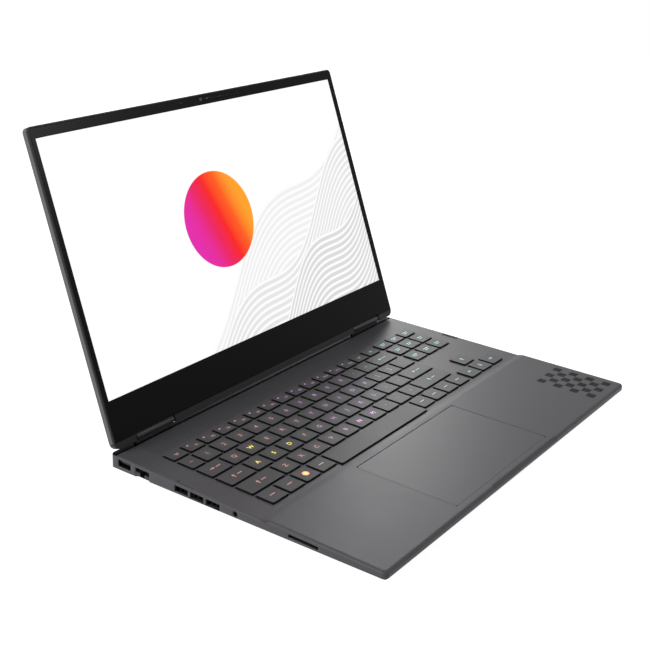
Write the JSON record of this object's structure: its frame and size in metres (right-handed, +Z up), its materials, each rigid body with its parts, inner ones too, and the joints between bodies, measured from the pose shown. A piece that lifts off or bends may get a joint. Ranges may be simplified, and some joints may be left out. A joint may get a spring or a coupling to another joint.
{
  "type": "laptop computer",
  "caption": "Open laptop with a wide screen in a friction-hinged lid, a full key deck, a touchpad and side sockets over a tapered grey base.",
  "frame": {"origin": "bottom centre of the open laptop's box, on the surface it stands on", "axes": "+X to the user's right, +Y from the user towards the hinge, +Z up"},
  "size_m": [0.368, 0.3314, 0.2505],
  "materials": {
    "case": "fine matt grey coat",
    "cover": "fine matt grey coat",
    "lid": "fine matt grey coat",
    "bezel": "fine matt texture",
    "screen": "matt panel",
    "touchpad": "satin",
    "keys": "matt top, black sides",
    "plate": "black coat",
    "socket_steel": "bright",
    "socket_plastic": "black",
    "steel": "satin",
    "board": "solder mask",
    "fan": "black",
    "fins": "bare",
    "copper": "bare copper",
    "battery": "black wrap",
    "speaker": "black",
    "rubber": "matt"
  },
  "bodies": {
    "base": {"audio_jack": "socket_plastic", "battery_pack": "battery", "bottom_cover": "cover", "bottom_screws": "steel", "card_reader": "socket_steel", "fan_housing_left": "fan", "fan_housing_right": "fan", "heat_pipe": "copper", "heat_spreader": "copper", "hinge_bracket_left": "steel", "hinge_bracket_right": "steel", "hinge_caps": "lid", "keyboard_tray": "plate", "mainboard": "board", "memory_modules": "board", "network_socket": "socket_plastic", "power_inlet": "socket_plastic", "rear_fin_stack_left": "fins", "rear_fin_stack_right": "fins", "rubber_feet": "rubber", "side_fin_stack_left": "fins", "side_fin_stack_right": "fins", "speaker_left": "speaker", "speaker_right": "speaker", "storage_drive": "board", "top_case": "case", "touchpad_bracket": "plate", "usb_c_socket": "socket_steel", "usb_socket_left": "socket_steel", "usb_sockets_right": "socket_steel", "video_socket": "socket_steel", "wireless_card": "board"},
    "lid": {"lid_back_cover": "lid", "screen_bezel": "bezel", "display_panel": "screen", "webcam_module": "bezel", "panel_board": "board", "hinge_pin_left": "steel", "hinge_pin_right": "steel", "hinge_arm_left": "steel", "hinge_arm_right": "steel"},
    "touchpad": {"touchpad": "touchpad"},
    "network_jaw": {"network_jaw": "case"},
    "fan_left": {"fan_rotor_left": "fan"},
    "fan_right": {"fan_rotor_right": "fan"},
    "space_bar": {"space_bar": "keys"},
    "enter_key": {"enter_key": "keys"},
    "backspace_key": {"backspace_key": "keys"},
    "left_shift_key": {"left_shift_key": "keys"},
    "right_shift_key": {"right_shift_key": "keys"},
    "tab_key": {"tab_key": "keys"},
    "caps_lock_key": {"caps_lock_key": "keys"},
    "function_keys": {"function_keys": "keys"},
    "digit_keys": {"digit_keys": "keys"},
    "upper_letter_keys": {"upper_letter_keys": "keys"},
    "home_letter_keys": {"home_letter_keys": "keys"},
    "lower_letter_keys": {"lower_letter_keys": "keys"},
    "bottom_keys": {"bottom_keys": "keys"},
    "navigation_keys": {"navigation_keys": "keys"},
    "arrow_keys": {"arrow_keys": "keys"}
  },
  "joints": [
    {"name": "lid_hinge", "type": "hinge", "parent": "base", "child": "lid", "pos_m": [0, 0.07813, 0.02115], "axis": [-1, 0, 0], "range_deg": [-110.34, 24.66]},
    {"name": "touchpad_press", "type": "hinge", "parent": "base", "child": "touchpad", "pos_m": [-0.01795, -0.0736, 0.0159], "axis": [1, 0, 0], "range_deg": [0, 0.35], "stiffness_Nm_per_rad": 20, "springref_deg": -0.17},
    {"name": "jaw_drop", "type": "hinge", "parent": "base", "child": "network_jaw", "pos_m": [-0.1733, 0.0475, 0.00865], "axis": [0, -1, 0], "range_deg": [0, 14], "stiffness_Nm_per_rad": 0.02, "springref_deg": -2.86},
    {"name": "fan_left_spin", "type": "hinge", "parent": "base", "child": "fan_left", "pos_m": [-0.132, 0.03, 0.0061], "axis": [0, 0, 1], "continuous": true},
    {"name": "fan_right_spin", "type": "hinge", "parent": "base", "child": "fan_right", "pos_m": [0.132, 0.03, 0.0061], "axis": [0, 0, 1], "continuous": true},
    {"name": "space_bar_press", "type": "slide", "parent": "base", "child": "space_bar", "axis": [0, 0, -1], "range_m": [0, 0.0012], "stiffness_N_per_m": 400, "springref_m": -0.001},
    {"name": "enter_key_press", "type": "slide", "parent": "base", "child": "enter_key", "axis": [0, 0, -1], "range_m": [0, 0.0012], "stiffness_N_per_m": 400, "springref_m": -0.001},
    {"name": "backspace_key_press", "type": "slide", "parent": "base", "child": "backspace_key", "axis": [0, 0, -1], "range_m": [0, 0.0012], "stiffness_N_per_m": 400, "springref_m": -0.001},
    {"name": "left_shift_key_press", "type": "slide", "parent": "base", "child": "left_shift_key", "axis": [0, 0, -1], "range_m": [0, 0.0012], "stiffness_N_per_m": 400, "springref_m": -0.001},
    {"name": "right_shift_key_press", "type": "slide", "parent": "base", "child": "right_shift_key", "axis": [0, 0, -1], "range_m": [0, 0.0012], "stiffness_N_per_m": 400, "springref_m": -0.001},
    {"name": "tab_key_press", "type": "slide", "parent": "base", "child": "tab_key", "axis": [0, 0, -1], "range_m": [0, 0.0012], "stiffness_N_per_m": 400, "springref_m": -0.001},
    {"name": "caps_lock_key_press", "type": "slide", "parent": "base", "child": "caps_lock_key", "axis": [0, 0, -1], "range_m": [0, 0.0012], "stiffness_N_per_m": 400, "springref_m": -0.001},
    {"name": "function_keys_press", "type": "slide", "parent": "base", "child": "function_keys", "axis": [0, 0, -1], "range_m": [0, 0.0012], "stiffness_N_per_m": 400, "springref_m": -0.001},
    {"name": "digit_keys_press", "type": "slide", "parent": "base", "child": "digit_keys", "axis": [0, 0, -1], "range_m": [0, 0.0012], "stiffness_N_per_m": 400, "springref_m": -0.001},
    {"name": "upper_letter_keys_press", "type": "slide", "parent": "base", "child": "upper_letter_keys", "axis": [0, 0, -1], "range_m": [0, 0.0012], "stiffness_N_per_m": 400, "springref_m": -0.001},
    {"name": "home_letter_keys_press", "type": "slide", "parent": "base", "child": "home_letter_keys", "axis": [0, 0, -1], "range_m": [0, 0.0012], "stiffness_N_per_m": 400, "springref_m": -0.001},
    {"name": "lower_letter_keys_press", "type": "slide", "parent": "base", "child": "lower_letter_keys", "axis": [0, 0, -1], "range_m": [0, 0.0012], "stiffness_N_per_m": 400, "springref_m": -0.001},
    {"name": "bottom_keys_press", "type": "slide", "parent": "base", "child": "bottom_keys", "axis": [0, 0, -1], "range_m": [0, 0.0012], "stiffness_N_per_m": 400, "springref_m": -0.001},
    {"name": "navigation_keys_press", "type": "slide", "parent": "base", "child": "navigation_keys", "axis": [0, 0, -1], "range_m": [0, 0.0012], "stiffness_N_per_m": 400, "springref_m": -0.001},
    {"name": "arrow_keys_press", "type": "slide", "parent": "base", "child": "arrow_keys", "axis": [0, 0, -1], "range_m": [0, 0.0012], "stiffness_N_per_m": 400, "springref_m": -0.001}
  ]
}
